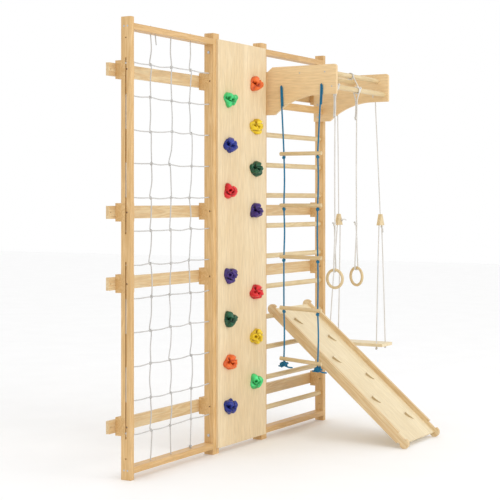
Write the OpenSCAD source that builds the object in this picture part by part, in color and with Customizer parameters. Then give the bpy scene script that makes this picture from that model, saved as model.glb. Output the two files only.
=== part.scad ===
// Indoor wooden climbing wall: net panel, board panel with holds, wall bars,
// overhead unit with rope ladder, rings and swing, and a hook-on slide.
// +X runs along the wall, the front faces -Y, +Z is up. Millimetres.
// The origin is on the floor, at the middle of the whole footprint.

/* [Overall] */
// Height of the posts
unit_h = 2200; // [1800:10:2400]
// Outer width of the net panel frame
net_w = 760; // [600:10:900]
// Outer width of the board panel frame
board_w = 500; // [400:10:700]
// Outer width of the wall-bar frame
bars_w = 740; // [600:10:900]

/* [Timber] */
// Width of a post along the wall
post_w = 28; // [24:1:40]
// Depth of a post
post_d = 55; // [45:1:70]
// Height of the top and bottom bars
bar_h = 30; // [20:1:40]
// Gap between a bar and the end of the posts
bar_gap = 30; // [10:1:60]
// Height of a wall rail
rail_h = 62; // [50:1:90]
// Thickness of a wall rail
rail_t = 18; // [15:1:25]
// Gap between the posts and the wall rails
stand_gap = 34; // [20:1:50]
// How far the wall rails run past the end posts
rail_over = 50; // [30:1:120]
// Height of a spacer block
block_h = 88; // [70:1:110]

/* [Wall bars] */
// Diameter of a rung
rung_d = 28; // [24:1:36]
// Distance from one rung to the next
rung_pitch = 170; // [150:5:200]

/* [Board and net] */
// Thickness of the climbing board
board_t = 12; // [9:1:21]
// Spacing of the net rows
net_pitch = 162; // [140:1:180]
// Diameter of the net rope
net_rope_d = 6; // [5:1:10]

/* [Overhead unit] */
// Thickness of a side plate
plate_t = 18; // [15:1:25]
// Reach of the plates in front of the posts
plate_reach = 435; // [350:5:600]
// Height of the plates above the rung that passes through them
plate_up = 202; // [150:1:240]
// Depth of the plates below that rung
plate_down = 63; // [45:1:90]
// Diameter of the overhead dowels
dowel_d = 28; // [22:1:32]
// Diameter of the hanging ropes
rope_d = 8; // [6:1:12]
// Outer diameter of a hand ring
ring_d = 113; // [100:1:180]
// Height of the hand ring centres
ring_z = 900; // [800:1:1200]

/* [Slide] */
// Distance between the round ends of a slide side
slide_l = 1060; // [900:10:1300]
// Outer width of the slide
slide_w = 435; // [360:5:500]
// Height of a slide side board
side_h = 55; // [45:1:70]
// Number of the rung the slide hooks over
slide_rung = 4; // [3:1:6]

/* [Hidden] */
$fn = 48;
wood = [0.88, 0.75, 0.52];
pale = [0.93, 0.83, 0.66];
white = [0.9, 0.9, 0.88];
blue = [0.15, 0.4, 0.52];
steel = [0.6, 0.6, 0.62];

mid_z = unit_h / 2;
half_w = (net_w + board_w + bars_w) / 2;
x_net = -half_w;
x_board = x_net + net_w;
x_bars = x_board + board_w;
stand_off = post_d + stand_gap + rail_t;
rail_y = post_d + stand_gap;
net_y = post_d / 2;
rope_r = net_rope_d / 2;
net_clear = 1.5;
block_y = net_y + rope_r + net_clear;
block_w = 2 * post_w;
block_w_end = 75;
bolt_z = [100, unit_h - 100];
bar_z = [bar_gap, unit_h - bar_gap - bar_h];
rung_clear = 20;
rungs_half = floor((mid_z - bar_gap - bar_h - rung_d / 2 - rung_clear) / rung_pitch + 0.5);
rail_out = (rungs_half - 1) * rung_pitch;
rail_z = [mid_z - rail_out, mid_z - rung_pitch, mid_z + rung_pitch, mid_z + rail_out];
rail_hole_x = half_w + rail_over - 14;
rail_hole_r = 3.5;
post_x = [x_net, x_board - post_w, x_board, x_bars - post_w, x_bars, half_w - post_w];
block_x = [x_net, x_board - post_w, x_bars - post_w, half_w - post_w];
bolt_r = 3.5;
side_r = 4;
nut_y = block_y - 10;
pin_r = 5;
pin_l = 80;
screw_y = [18, post_d - 17];
screw_l = 58;
pilot_l = screw_l - post_w + 2;
plate_screw_l = 38;
dowel_screw_l = 40;

row_clear = 40;
rows_half = floor((mid_z - bolt_z[0] - row_clear) / net_pitch + 0.5);
net_rows = 2 * rows_half;
row_top = mid_z + (rows_half - 0.5) * net_pitch;
net_in = net_w - 2 * post_w;
net_cols = [1, 2, 3];
groove_d = 14;
groove_end = 15;
lace_x = rope_r + 1;
second_hole = 40;

hold_x = [x_board + board_w / 2 - 144, x_board + board_w / 2 + 126];
hold_edge = 208;
hold_top = mid_z - bar_gap - hold_edge;
short_col = [for (k = [0 : 2]) 276 + k * (hold_top - 100 - 276) / 2];
long_col = [for (k = [0 : 3]) 169 + k * (hold_top - 169) / 3];

plate_x = [x_bars + post_w, half_w - post_w - plate_t];
plate_rung_z = mid_z + (rungs_half - 1.5) * rung_pitch;
plate_top = plate_rung_z + plate_up;
plate_low = plate_rung_z - plate_down;
plate_screw_z = [plate_rung_z - 37, plate_rung_z + 37];
arc_r = 430;
arc_y = plate_reach - 105;
end_h = 162;
chamfer = [37, 75];
corner_r = 14;
rope_y = [95, plate_reach - 90];
rope_z = plate_top - 107;
dowel_a = [plate_reach - 70, plate_top - 40];
dowel_b = [plate_reach - 225, plate_top - 40];
dowel_c = [plate_reach - 27, plate_top - 121];
dowels = [dowel_a, dowel_b, dowel_c];
dowel_in = 12;
cross_h = 40;
cross_y = [net_y - rung_d / 2 - 21.5, net_y - rung_d / 2 - 1.5];
ring_x = [x_bars + 65, x_bars + 332];
ring_turn = [-5, -23];
ring_tube = 15.5;
ring_cord_r = 3;
loop_cord_r = 3.5;
loop_r = dowel_d / 2 + loop_cord_r + 0.06;
hanger_dx = 8;
upper_knot = plate_top - 276;
lower_knot = ring_z + 293;

gap = 0.5;
hang_r = rope_d / 2;
ladder_x = plate_x[0] - gap - hang_r;
ladder_rung_l = 257;
ladder_rung_d = 22;
ladder_rope_y = [rope_y[0] + 19, rope_y[1] - 20];
ladder_z = [for (k = [0 : 4]) rope_z - 376 - 285 * k];
ladder_tilt = [0, 0, 1, 2, 4];

swing_r = 3.5;
swing_x = plate_x[1] + plate_t + gap + swing_r;
seat_clear = 20;
swing_seat = [140, rope_y[0] + rope_y[1] - 2 * seat_clear, 18];
swing_seat_z = 472;
swing_seat_y = (rope_y[0] + rope_y[1]) / 2;
swing_split_z = rope_z - 780;
swing_mid_y = [rope_y[0] + 8, rope_y[1] + 32];
swing_end_y = [swing_seat_y - swing_seat[1] / 2 + 50, swing_seat_y + swing_seat[1] / 2 - 40];
swing_tri = 66;
swing_tri_t = 20;

slide_x = x_bars + 128;
side_t = 18;
lobe_r = side_h / 2;
slot_s = 20;
slot_t = lobe_r + 4;
slot_r = rung_d / 2 + 0.05;
slide_rung_z = mid_z - (rungs_half - slide_rung + 0.5) * rung_pitch;
hyp = sqrt(pow(slide_l - slot_s, 2) + pow(slot_t, 2));
slide_a = asin((slide_rung_z - lobe_r) / hyp) + atan(slot_t / (slide_l - slot_s));
slide_top = [post_d / 2 + slot_s * cos(slide_a) - slot_t * sin(slide_a),
             slide_rung_z + slot_s * sin(slide_a) + slot_t * cos(slide_a)];
bed_t = 10;
bed_top = 2;
grip_s = [[126, 444, 762], [290, 605, 920]];
grip_x = [slide_w / 2 - 77.5, slide_w / 2 + 94.5];
grip_h = 18;
slide_front = slide_l * cos(slide_a) - slide_top[0] + lobe_r;
wall_y = (slide_front + stand_off) / 2;
front_y = wall_y - stand_off;

// ---- small helpers ----

// a box from one corner to the other
module block(a, b) {
  translate(a) cube(b - a);
}

// a round bar along X, its axis at y, z
module bar_x(x0, x1, y, z, r) {
  translate([x0, y, z]) rotate([0, 90, 0]) cylinder(h = x1 - x0, r = r);
}

// a round bar along Y
module bar_y(x, y0, y1, z, r) {
  translate([x, y1, z]) rotate([90, 0, 0]) cylinder(h = y1 - y0, r = r);
}

// a round bar between two points that share one X
module bar_yz(x, a, b, r) {
  d = b - a;
  translate([x, a[0], a[1]]) rotate([atan2(-d[0], d[1]), 0, 0]) cylinder(h = norm(d), r = r);
}

// a flat shape drawn in Y and Z, made thick along X
module along_x(x0, w) {
  translate([x0, 0, 0]) rotate([90, 0, 90]) linear_extrude(w) children();
}

// a rope loop around an axis along X
module loop_x(x, y, z, r_loop, r) {
  translate([x, y, z]) rotate([0, 90, 0]) rotate_extrude() translate([r_loop, 0]) circle(r);
}

// a rope tube through a list of points, for ropes that run mostly downwards
sides = 8;
function ring_at(p, r) = [for (k = [0 : sides - 1]) p + [r * cos(k * 360 / sides), r * sin(k * 360 / sides), 0]];
module rope(points, r) {
  n = len(points);
  verts = [for (p = points) each ring_at(p, r)];
  walls = [for (i = [0 : n - 2]) for (k = [0 : sides - 1])
    [i * sides + k, (i + 1) * sides + k, (i + 1) * sides + (k + 1) % sides, i * sides + (k + 1) % sides]];
  top = [[for (k = [0 : sides - 1]) k]];
  end = [[for (k = [sides - 1 : -1 : 0]) (n - 1) * sides + k]];
  polyhedron(verts, concat(walls, top, end), convexity = 4);
}

module placed() {
  translate([0, front_y, 0]) children();
}

// ---- posts ----

// what is cut from every post between two heights
module post_cuts(x, z0, z1) {
  for (z = rail_z)
    if (z > z0 && z < z1) {
      block([x - 1, block_y, z - block_h / 2], [x + post_w + 1, post_d + 1, z + block_h / 2]);
      bar_x(x - 1, x + post_w + 1, nut_y, z, 4.8);
      bar_y(x + post_w / 2, nut_y, block_y + 1, z, 3.2);
    }
  for (z = bolt_z)
    if (z > z0 && z < z1) bar_x(x - 1, x + post_w + 1, net_y, z, abs(x) > half_w / 2 ? side_r : bolt_r);
  translate([x + post_w / 2, net_y, mid_z - pin_l / 2]) cylinder(h = pin_l, r = pin_r);
}

// screw holes from the outer face of a post into its bars
module post_screw_cuts(x, outer_left, z0, z1) {
  for (z = bar_z)
    if (z > z0 && z < z1)
      for (y = screw_y) {
        bar_x(x - 1, x + post_w + 1, y, z + bar_h / 2, 2.5);
        if (outer_left) bar_x(x - 1, x + 3, y, z + bar_h / 2, 4.5);
        else bar_x(x + post_w - 3, x + post_w + 1, y, z + bar_h / 2, 4.5);
      }
}

module post_half(x, upper, outer_left) {
  z0 = upper ? mid_z : 0;
  z1 = upper ? unit_h : mid_z;
  difference() {
    block([x, 0, z0], [x + post_w, post_d, z1]);
    post_cuts(x, z0, z1);
    post_screw_cuts(x, outer_left, z0, z1);
    children();
  }
}

// row holes and the lacing groove of a net post
module lace_cuts(x, outer_left, upper) {
  first = upper ? 0 : rows_half;
  z_hi = row_top - first * net_pitch + groove_end;
  z_lo = z_hi - (rows_half - 1) * net_pitch - 2 * groove_end;
  gx = outer_left ? x - 1 : x + post_w - groove_d;
  for (k = [first : first + rows_half - 1])
    bar_x(x - 1, x + post_w + 1, net_y, row_top - k * net_pitch, rope_r + 0.4);
  block([gx, net_y - rope_r - 0.3, z_lo], [gx + groove_d + 1, net_y + rope_r + 0.3, z_hi]);
}

// blind holes for the rungs, and for the plate screws, in the inner face of a wall-bar post
module rung_cuts(x, left, upper) {
  x0 = left ? x + 10 : x - 1;
  x1 = left ? x + post_w + 1 : x + post_w - 10;
  into = plate_screw_l - plate_t + 1;
  if (upper)
    for (z = plate_screw_z)
      bar_x(left ? x + post_w - into : x - 1, left ? x + post_w + 1 : x + into, net_y, z, 2.5);
  for (k = [0 : rungs_half - 1]) {
    off = (k + 0.5) * rung_pitch;
    bar_x(x0, x1, net_y, upper ? mid_z + off : mid_z - off, rung_d / 2);
  }
}

module net_post_left_upper() {
  color(wood) placed() post_half(post_x[0], true, true) lace_cuts(post_x[0], true, true);
}
module net_post_left_lower() {
  color(wood) placed() post_half(post_x[0], false, true) lace_cuts(post_x[0], true, false);
}
module net_post_right_upper() {
  color(wood) placed() post_half(post_x[1], true, false) lace_cuts(post_x[1], false, true);
}
module net_post_right_lower() {
  color(wood) placed() post_half(post_x[1], false, false) lace_cuts(post_x[1], false, false);
}
module board_posts_upper() {
  color(wood) placed() {
    post_half(post_x[2], true, true);
    post_half(post_x[3], true, false);
  }
}
module board_posts_lower() {
  color(wood) placed() {
    post_half(post_x[2], false, true);
    post_half(post_x[3], false, false);
  }
}
module bars_post_left_upper() {
  color(wood) placed() post_half(post_x[4], true, true) rung_cuts(post_x[4], true, true);
}
module bars_post_left_lower() {
  color(wood) placed() post_half(post_x[4], false, true) rung_cuts(post_x[4], true, false);
}
module bars_post_right_upper() {
  color(wood) placed() post_half(post_x[5], true, false) rung_cuts(post_x[5], false, true);
}
module bars_post_right_lower() {
  color(wood) placed() post_half(post_x[5], false, false) rung_cuts(post_x[5], false, false);
}

// ---- bars and rungs ----

// top and bottom bar of one frame, with pilot holes for the screws
module frame_bars(x0, x1) {
  for (z = bar_z)
    difference() {
      block([x0, 0, z], [x1, post_d, z + bar_h]);
      for (y = screw_y) {
        bar_x(x0 - 1, x0 + pilot_l, y, z + bar_h / 2, 2.5);
        bar_x(x1 - pilot_l, x1 + 1, y, z + bar_h / 2, 2.5);
      }
      children();
    }
}

module net_bars() {
  color(wood) placed() frame_bars(x_net + post_w, x_board - post_w) {
    for (c = net_cols)
      translate([x_net + post_w + c * net_in / 4, net_y, bar_z[0] + 10])
        cylinder(h = bar_z[1] - bar_z[0] + 10, r = rope_r + 0.4);
    translate([x_net + post_w + net_in / 4 + second_hole, net_y, bar_z[0] - 1])
      cylinder(h = unit_h, r = rope_r + 0.4);
  }
}
module board_bars() {
  color(wood) placed() frame_bars(x_board + post_w, x_bars - post_w);
}
module ladder_bars() {
  color(wood) placed() frame_bars(x_bars + post_w, half_w - post_w);
}

module rung_set(upper) {
  for (k = [0 : rungs_half - 1]) {
    off = (k + 0.5) * rung_pitch;
    bar_x(x_bars + 10, half_w - 10, net_y, upper ? mid_z + off : mid_z - off, rung_d / 2);
  }
}
module rungs_upper() {
  color(pale) placed() rung_set(true);
}
module rungs_lower() {
  color(pale) placed() rung_set(false);
}

// ---- wall rails and spacers ----

module wall_rail(k) {
  x = half_w + rail_over;
  color(wood) placed() difference() {
    block([-x, rail_y, rail_z[k] - rail_h / 2], [x, stand_off, rail_z[k] + rail_h / 2]);
    for (px = post_x) {
      bar_y(px + post_w / 2, rail_y - 1, stand_off + 1, rail_z[k], 3.2);
      bar_y(px + post_w / 2, stand_off - 4, stand_off + 1, rail_z[k], 6.7);
    }
    for (sx = [-1, 1]) bar_y(sx * rail_hole_x, rail_y - 1, stand_off + 1, rail_z[k], rail_hole_r);
  }
}
module wall_rail_bottom() {
  wall_rail(0);
}
module wall_rail_low_mid() {
  wall_rail(1);
}
module wall_rail_high_mid() {
  wall_rail(2);
}
module wall_rail_top() {
  wall_rail(3);
}

module spacer_blocks() {
  color(wood) placed()
    for (z = rail_z)
      for (k = [0 : 3]) {
        w = k == 0 ? block_w_end : block_w;
        difference() {
          block([block_x[k], block_y, z - block_h / 2], [block_x[k] + w, rail_y, z + block_h / 2]);
          for (px = post_x) bar_y(px + post_w / 2, block_y - 1, rail_y + 1, z, 3.2);
        }
      }
}

// ---- board and holds ----

// [column, height] of the two holds of each colour
light_green_at = [[0, mid_z + short_col[2]], [1, mid_z - short_col[2]]];
blue_at = [[0, mid_z + short_col[1]], [0, mid_z - long_col[3]]];
red_at = [[0, mid_z + short_col[0]], [1, mid_z - short_col[0]]];
purple_at = [[0, mid_z - long_col[0]], [1, mid_z + long_col[0]]];
dark_green_at = [[0, mid_z - long_col[1]], [1, mid_z + long_col[1]]];
orange_at = [[0, mid_z - long_col[2]], [1, mid_z + long_col[3]]];
yellow_at = [[1, mid_z + long_col[2]], [1, mid_z - short_col[1]]];
all_holds = concat(light_green_at, blue_at, red_at, purple_at, dark_green_at, orange_at, yellow_at);

module board_half(z0, z1) {
  difference() {
    block([x_board, -board_t, z0], [x_bars, 0, z1]);
    for (h = all_holds)
      if (h[1] > z0 && h[1] < z1) bar_y(hold_x[h[0]], -board_t - 1, 1, h[1], 5.5);
  }
}
module board_upper() {
  color(pale) placed() board_half(mid_z, unit_h - bar_gap);
}
module board_lower() {
  color(pale) placed() board_half(bar_gap, mid_z);
}

// a three-lobed hold standing out of the board
module hold(turn) {
  difference() {
    union() {
      cylinder(h = 30, r1 = 30, r2 = 22);
      for (k = [0 : 2])
        rotate([0, 0, turn + 120 * k]) translate([21, 0, 0]) cylinder(h = 44 - 5 * k, r1 = 24, r2 = 14);
    }
    translate([0, 0, -1]) cylinder(h = 60, r = 4.5);
    translate([0, 0, 20]) cylinder(h = 40, r = 10);
  }
}
module hold_pair(at, turns) {
  for (k = [0, 1])
    translate([hold_x[at[k][0]], -board_t, at[k][1]]) rotate([90, 0, 0]) hold(turns[k]);
}
module holds_light_green() {
  color([0.27, 0.78, 0.43]) placed() hold_pair(light_green_at, [20, 75]);
}
module holds_blue() {
  color([0.16, 0.24, 0.63]) placed() hold_pair(blue_at, [50, 10]);
}
module holds_red() {
  color([0.88, 0.17, 0.18]) placed() hold_pair(red_at, [95, 60]);
}
module holds_purple() {
  color([0.3, 0.18, 0.52]) placed() hold_pair(purple_at, [0, 35]);
}
module holds_dark_green() {
  color([0.06, 0.36, 0.24]) placed() hold_pair(dark_green_at, [65, 100]);
}
module holds_orange() {
  color([1, 0.43, 0.16]) placed() hold_pair(orange_at, [30, 85]);
}
module holds_yellow() {
  color([0.96, 0.78, 0.08]) placed() hold_pair(yellow_at, [110, 55]);
}

// bolt, head and T-nut of every hold
module hold_bolts() {
  color(steel) placed()
    for (h = all_holds) {
      bar_y(hold_x[h[0]], -board_t - 20, 10, h[1], 4);
      bar_y(hold_x[h[0]], -board_t - 26, -board_t - 20, h[1], 7);
      bar_y(hold_x[h[0]], -9, 0, h[1], 5.5);
      bar_y(hold_x[h[0]], 0, 2, h[1], 11);
    }
}

// ---- net ----

function row_z(k) = row_top - k * net_pitch;
function col_x(c) = x_net + post_w + c * net_in / 4;
left_lace = [for (k = [1 : 2 : net_rows - 2]) if (k != rows_half - 1) k];
right_lace = [for (k = [0 : 2 : net_rows - 2]) if (k != rows_half - 1) k];

module net_rows() {
  color(white) placed()
    for (k = [0 : net_rows - 1]) bar_x(x_net + lace_x, x_board - lace_x, net_y, row_z(k), rope_r);
}
module net_uprights() {
  color(white) placed()
    for (c = net_cols)
      translate([col_x(c), net_y, bar_z[0] + 10]) cylinder(h = bar_z[1] - bar_z[0] + 10, r = rope_r);
}

// knots at the crossings, the lacing in the post grooves and the loose ends
module net_knots() {
  color(white) placed() {
    for (k = [0 : net_rows - 1])
      for (c = net_cols) translate([col_x(c), net_y, row_z(k)]) sphere(6.5);
    for (k = left_lace)
      translate([x_net + lace_x, net_y, row_z(k + 1)]) cylinder(h = net_pitch, r = rope_r);
    for (k = right_lace)
      translate([x_board - lace_x, net_y, row_z(k + 1)]) cylinder(h = net_pitch, r = rope_r);
    translate([x_net + lace_x, net_y, row_z(0) - 30]) cylinder(h = 30, r = rope_r);
    translate([x_net + lace_x, net_y, row_z(net_rows - 1)]) cylinder(h = 50, r = rope_r);
    translate([x_net + post_w + 8, net_y, row_z(rows_half)]) sphere(8);
    translate([col_x(3), net_y, bar_z[0] + bar_h + 12]) sphere(9);
    translate([col_x(1) + second_hole, net_y, bar_z[1] - 55]) cylinder(h = 75, r = rope_r);
  }
}

// ---- overhead unit ----

module plate_outline() {
  difference() {
    polygon([
      [post_d, plate_low], [-plate_reach, plate_low],
      each [for (t = [180 : -15 : 90])
        [corner_r * (1 + cos(t)) - plate_reach, plate_top - corner_r * (1 - sin(t))]],
      [-chamfer[0], plate_top], [post_d, plate_top - chamfer[1]]
    ]);
    translate([-arc_y, plate_top - end_h - arc_r]) circle(arc_r, $fn = 96);
    translate([-plate_reach - 1, plate_low - 1])
      square([plate_reach - arc_y + 1, plate_top - end_h - plate_low + 1]);
    for (y = rope_y) translate([-y, rope_z]) circle(hang_r + 0.6);
    for (z = [plate_rung_z : rung_pitch : plate_top]) translate([net_y, z]) circle(rung_d / 2 + 0.05);
  }
}

module plate(k) {
  inner = k == 0 ? plate_x[0] + plate_t - dowel_in : plate_x[1] - 1;
  outer = k == 0 ? plate_x[0] - 1 : plate_x[1] + plate_t - 3;
  color(pale) placed() difference() {
    along_x(plate_x[k], plate_t) plate_outline();
    for (d = dowels) {
      bar_x(inner, inner + dowel_in + 1, -d[0], d[1], dowel_d / 2);
      bar_x(plate_x[k] - 1, plate_x[k] + plate_t + 1, -d[0], d[1], 2.5);
      bar_x(outer, outer + 4, -d[0], d[1], 4.5);
    }
    for (z = plate_screw_z) bar_x(plate_x[k] - 1, plate_x[k] + plate_t + 1, net_y, z, 2.5);
  }
}
module plate_left() {
  plate(0);
}
module plate_right() {
  plate(1);
}

module overhead_dowels() {
  x0 = plate_x[0] + plate_t - dowel_in;
  x1 = plate_x[1] + dowel_in;
  color(pale) placed()
    for (d = dowels)
      difference() {
        bar_x(x0, x1, -d[0], d[1], dowel_d / 2);
        bar_x(x0 - 1, x0 + dowel_screw_l, -d[0], d[1], 2.5);
        bar_x(x1 - dowel_screw_l, x1 + 1, -d[0], d[1], 2.5);
      }
}

module cross_bar() {
  z0 = plate_rung_z - cross_h / 2;
  color(pale) placed()
    block([plate_x[0] + plate_t, cross_y[0], z0], [plate_x[1], cross_y[1], z0 + cross_h]);
}

// fixed rope that ties each ring cord back to the upper dowel
module ring_hangers() {
  r = dowel_d / 2 + loop_cord_r + 0.2;
  lean = atan2(dowel_c[0] - dowel_a[0], dowel_a[1] - dowel_c[1]);
  off = [-r * cos(lean), r * sin(lean)];
  color(white) placed()
    for (x = ring_x) {
      loop_x(x + hanger_dx, -dowel_a[0], dowel_a[1], r, loop_cord_r);
      loop_x(x + hanger_dx, -dowel_c[0], dowel_c[1], r, loop_cord_r);
      bar_yz(x + hanger_dx, [-dowel_c[0], dowel_c[1]] + off, [-dowel_a[0], dowel_a[1]] + off, ring_cord_r);
    }
}

// rope ends through the plates with a knot on the inner face
module rope_stops() {
  inner_l = plate_x[0] + plate_t;
  inner_r = plate_x[1];
  color(blue) placed()
    for (y = rope_y) {
      bar_x(plate_x[0], inner_l + 8, -y, rope_z, hang_r);
      bar_x(inner_l, inner_l + 16, -y, rope_z, 9);
      bar_x(inner_r - 8, inner_r + plate_t, -y, rope_z, hang_r);
      bar_x(inner_r - 16, inner_r, -y, rope_z, 9);
    }
}

// ---- fasteners ----

// rail bolts with their cross nuts, and the bolts that join the frames
module frame_bolts() {
  color(steel) placed() {
    for (z = rail_z)
      for (px = post_x) {
        bar_y(px + post_w / 2, nut_y, stand_off, z, 3);
        bar_y(px + post_w / 2, stand_off - 4, stand_off, z, 6.5);
        bar_x(px + 9, px + post_w - 9, nut_y, z, 4.5);
      }
    for (z = bolt_z)
      for (x = [x_board, x_bars]) {
        bar_x(x - post_w - 4, x + post_w + 4, net_y, z, 3);
        bar_x(x - post_w - 4, x - post_w, net_y, z, 7);
        bar_x(x + post_w, x + post_w + 4, net_y, z, 7);
      }
  }
}

// one wood screw along X, its head at x
module screw_x(x, dir, y, z, l) {
  bar_x(min(x, x + dir * l), max(x, x + dir * l), y, z, 2.5);
  bar_x(min(x, x + dir * 3), max(x, x + dir * 3), y, z, 4.5);
}
module bar_screws() {
  color(steel) placed() {
    for (z = bar_z)
      for (y = screw_y)
        for (f = [[x_net, x_board], [x_board, x_bars], [x_bars, half_w]]) {
          screw_x(f[0], 1, y, z + bar_h / 2, screw_l);
          screw_x(f[1], -1, y, z + bar_h / 2, screw_l);
        }
    for (z = plate_screw_z) {
      bar_x(plate_x[0] + plate_t - plate_screw_l, plate_x[0] + plate_t + 3, net_y, z, 2.5);
      bar_x(plate_x[0] + plate_t, plate_x[0] + plate_t + 3, net_y, z, 5);
      bar_x(plate_x[1] - 3, plate_x[1] + plate_screw_l, net_y, z, 2.5);
      bar_x(plate_x[1] - 3, plate_x[1], net_y, z, 5);
    }
    for (d = dowels) {
      screw_x(plate_x[0], 1, -d[0], d[1], dowel_screw_l);
      screw_x(plate_x[1] + plate_t, -1, -d[0], d[1], dowel_screw_l);
    }
  }
}

// hidden pins that line up the two halves of each post
module post_pins() {
  color(steel) placed()
    for (px = post_x) translate([px + post_w / 2, net_y, mid_z - pin_l / 2]) cylinder(h = pin_l, r = pin_r);
}

// ---- rope ladder ----

ladder_mid_y = (ladder_rope_y[0] + ladder_rope_y[1]) / 2;
half_span = (ladder_rope_y[1] - ladder_rope_y[0]) / 2;
function tilt_z(k, side) = ladder_z[k] - side * half_span * sin(ladder_tilt[k]);

module ladder_rungs() {
  color(pale) placed()
    for (k = [0 : 4])
      translate([ladder_x, -ladder_mid_y, ladder_z[k]]) rotate([ladder_tilt[k], 0, 0]) difference() {
        bar_y(0, -ladder_rung_l / 2, ladder_rung_l / 2, 0, ladder_rung_d / 2);
        for (s = [-1, 1]) translate([0, s * half_span, -20]) cylinder(h = 40, r = hang_r + 0.9);
      }
}
module ladder_knots() {
  color(blue) placed()
    for (k = [0 : 4])
      for (s = [0, 1])
        translate([ladder_x, -ladder_rope_y[s], tilt_z(k, 2 * s - 1) - (k == 4 ? 23 : 19.5)])
          sphere(k == 4 ? 12 : 8.5);
}
module ladder_rope(s) {
  y = ladder_rope_y[s];
  color(blue) placed() rope([
    [ladder_x, -rope_y[s], rope_z],
    [ladder_x, -rope_y[s] * 0.9 - y * 0.1, rope_z - 40],
    [ladder_x, -rope_y[s] * 0.5 - y * 0.5, rope_z - 190],
    [ladder_x, -rope_y[s] * 0.1 - y * 0.9, rope_z - 340],
    [ladder_x, -y, ladder_z[0]],
    [ladder_x, -y, ladder_z[1]],
    [ladder_x, -y, ladder_z[2]],
    [ladder_x, -y, ladder_z[3]],
    [ladder_x, -y, ladder_z[4] - 45]
  ], hang_r);
}
module ladder_rope_rear() {
  ladder_rope(0);
}
module ladder_rope_front() {
  ladder_rope(1);
}

// ---- swing ----

strand_dx = [-60, 60];
module swing_seat() {
  color(pale) placed() difference() {
    translate([swing_x - swing_seat[0] / 2, -swing_seat_y - swing_seat[1] / 2, swing_seat_z]) cube(swing_seat);
    for (dx = strand_dx)
      for (y = swing_end_y)
        translate([swing_x + dx, -y, swing_seat_z - 1]) cylinder(h = swing_seat[2] + 2, r = swing_r + 0.7);
  }
}

// a triangular block that splits each rope into two strands
module swing_adjusters() {
  color(wood) placed()
    for (y = swing_mid_y)
      difference() {
        translate([swing_x, -y + swing_tri_t / 2, swing_split_z]) rotate([90, 0, 0]) linear_extrude(swing_tri_t)
          polygon([[-swing_tri / 2, 0], [swing_tri / 2, 0], [8, swing_tri], [-8, swing_tri]]);
        translate([swing_x, -y, swing_split_z + 38]) cylinder(h = 40, r = swing_r + 1.5);
        for (s = [-1, 1]) translate([swing_x + s * 19, -y, swing_split_z - 1]) cylinder(h = 15, r = swing_r + 0.9);
      }
}
module swing_rope(s) {
  color(white) placed() {
    rope([
      [swing_x, -rope_y[s], rope_z],
      [swing_x, -rope_y[s], rope_z - 60],
      [swing_x, -swing_mid_y[s], swing_split_z + 39]
    ], swing_r);
    for (k = [0, 1]) {
      dx = 2 * k - 1;
      rope([
        [swing_x + dx * 19, -swing_mid_y[s], swing_split_z + 13],
        [swing_x + dx * 19, -swing_mid_y[s], swing_split_z - 8],
        [swing_x + strand_dx[k], -swing_end_y[s], swing_seat_z + 30],
        [swing_x + strand_dx[k], -swing_end_y[s], swing_seat_z - 14]
      ], swing_r);
    }
  }
}
module swing_rope_rear() {
  swing_rope(0);
}
module swing_rope_front() {
  swing_rope(1);
}
module swing_knots() {
  color(white) placed()
    for (s = [0, 1])
      for (dx = strand_dx) translate([swing_x + dx, -swing_end_y[s], swing_seat_z - 7.5]) sphere(8);
}

// ---- rings ----

module hand_ring(k) {
  color(wood) placed()
    translate([ring_x[k], -dowel_c[0], ring_z]) rotate([0, 0, ring_turn[k]]) rotate([0, 90, 0])
      rotate_extrude($fn = 72) translate([(ring_d - ring_tube) / 2, 0]) circle(ring_tube / 2);
}

// cord of one ring: a loop on the dowel, doubled ends, knots and a loop on the ring
module ring_cord(k) {
  tube_z = ring_z + (ring_d - ring_tube) / 2;
  eye_r = ring_tube / 2 + loop_cord_r + 0.1;
  top = dowel_c[1] - loop_r;
  color(white) placed() {
    loop_x(ring_x[k], -dowel_c[0], dowel_c[1], loop_r, loop_cord_r);
    translate([ring_x[k] + 0.4, -dowel_c[0] - 0.7, tube_z + eye_r - 1])
      cylinder(h = top - tube_z - eye_r + 2, r = ring_cord_r);
    translate([ring_x[k], -dowel_c[0] + 6.5, upper_knot]) cylinder(h = top - upper_knot - 1, r = ring_cord_r);
    translate([ring_x[k], -dowel_c[0] + 6.5, tube_z + eye_r])
      cylinder(h = lower_knot - tube_z - eye_r, r = ring_cord_r);
    translate([ring_x[k], -dowel_c[0] + 3, upper_knot]) sphere(8);
    translate([ring_x[k], -dowel_c[0] + 3, lower_knot]) sphere(7);
    translate([ring_x[k], -dowel_c[0], tube_z]) rotate([0, 0, ring_turn[k]]) rotate([90, 0, 0])
      rotate_extrude() translate([eye_r, 0]) circle(loop_cord_r);
  }
}
module ring_left() {
  hand_ring(0);
}
module ring_left_cord() {
  ring_cord(0);
}
module ring_right() {
  hand_ring(1);
}
module ring_right_cord() {
  ring_cord(1);
}

// ---- slide ----

// children drawn with X along the slope, Y along its upward normal, made thick along X
module on_slope(x0, w) {
  along_x(x0, w) translate([slide_top[0], slide_top[1]]) rotate(180 + slide_a) mirror([0, 1]) children();
}

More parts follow.
